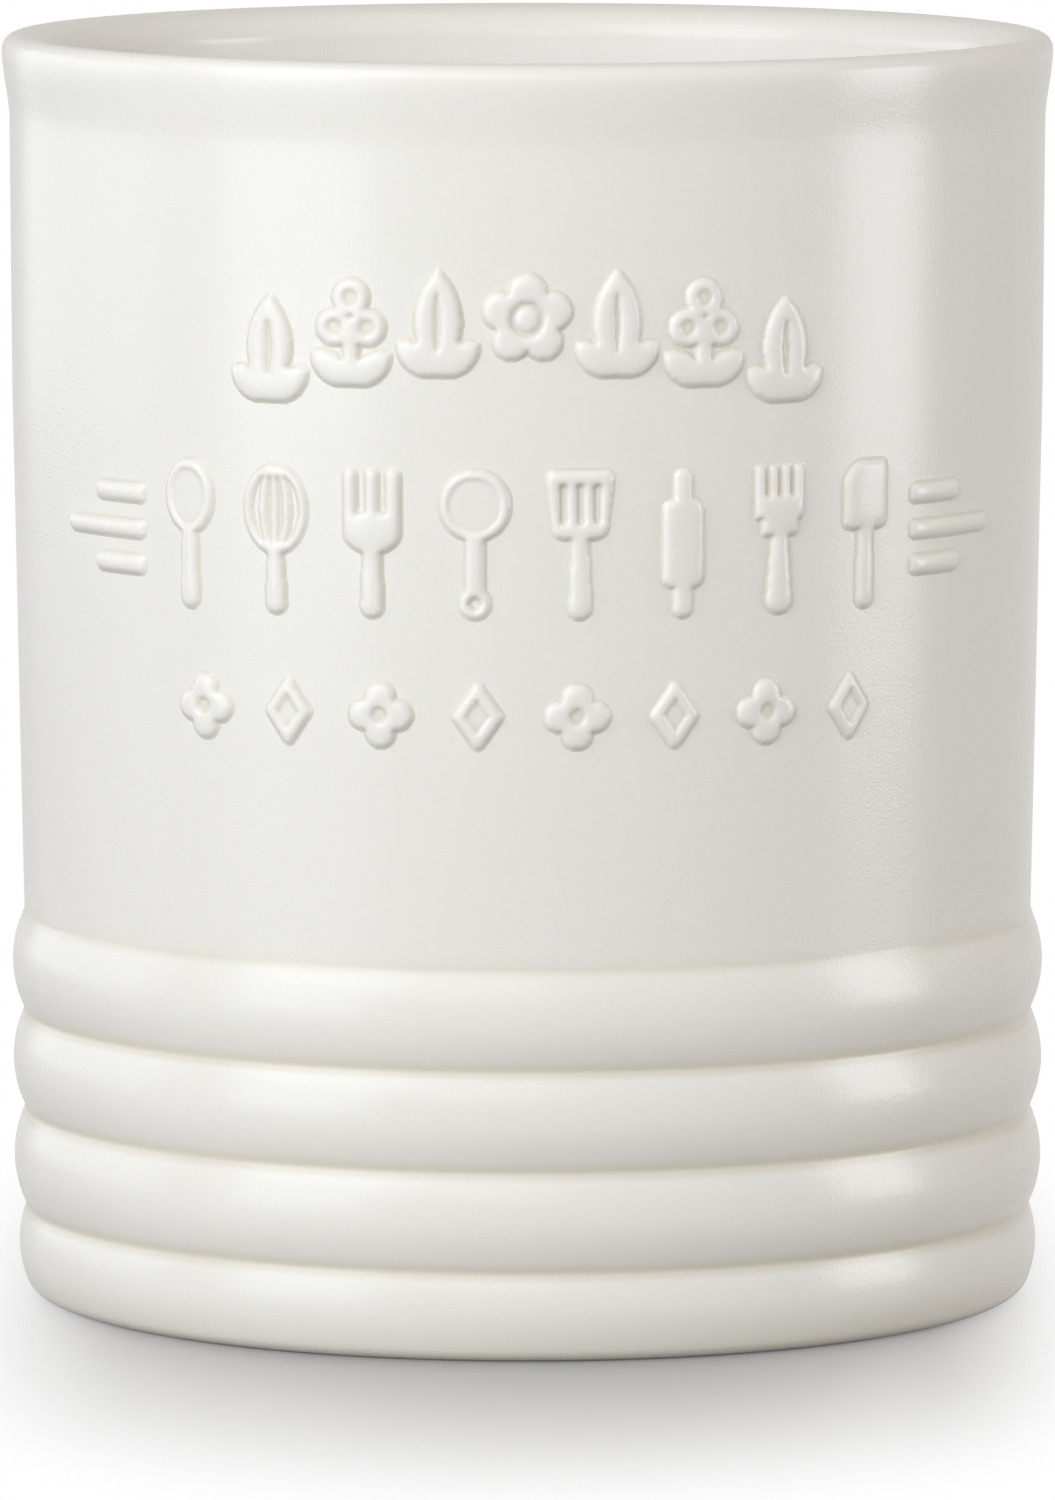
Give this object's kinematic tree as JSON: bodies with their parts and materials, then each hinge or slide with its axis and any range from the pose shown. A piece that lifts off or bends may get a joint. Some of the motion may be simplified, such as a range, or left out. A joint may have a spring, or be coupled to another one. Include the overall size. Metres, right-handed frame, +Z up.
{
  "type": "utensil crock",
  "caption": "Round glazed stoneware crock with a rolled rim, ring mouldings at the base, and pressed clay reliefs of leaves, utensils and bars on its front.",
  "frame": {"origin": "on the crock's axis, at the level of the foot ring's flat underside", "axes": "+Z up along the crock's axis, out of its mouth; the ornament faces -Y"},
  "size_m": [0.152, 0.152, 0.183],
  "materials": {
    "glazed_stoneware": "satin off-white glaze, a little glossier inside, bare clay under the foot"
  },
  "bodies": {
    "root": {"arch_berries_1": "glazed_stoneware", "arch_berries_2": "glazed_stoneware", "arch_flower": "glazed_stoneware", "arch_leaf_1": "glazed_stoneware", "arch_leaf_2": "glazed_stoneware", "arch_leaf_3": "glazed_stoneware", "arch_leaf_4": "glazed_stoneware", "blossom_1": "glazed_stoneware", "blossom_2": "glazed_stoneware", "blossom_3": "glazed_stoneware", "blossom_4": "glazed_stoneware", "crock_body": "glazed_stoneware", "fork_relief": "glazed_stoneware", "ladle_relief": "glazed_stoneware", "left_bar_lower": "glazed_stoneware", "left_bar_middle": "glazed_stoneware", "left_bar_upper": "glazed_stoneware", "lozenge_1": "glazed_stoneware", "lozenge_2": "glazed_stoneware", "lozenge_3": "glazed_stoneware", "lozenge_4": "glazed_stoneware", "pastry_brush_relief": "glazed_stoneware", "right_bar_lower": "glazed_stoneware", "right_bar_middle": "glazed_stoneware", "right_bar_upper": "glazed_stoneware", "rolling_pin_relief": "glazed_stoneware", "scraper_relief": "glazed_stoneware", "spoon_relief": "glazed_stoneware", "turner_relief": "glazed_stoneware", "whisk_relief": "glazed_stoneware"}
  },
  "joints": []
}
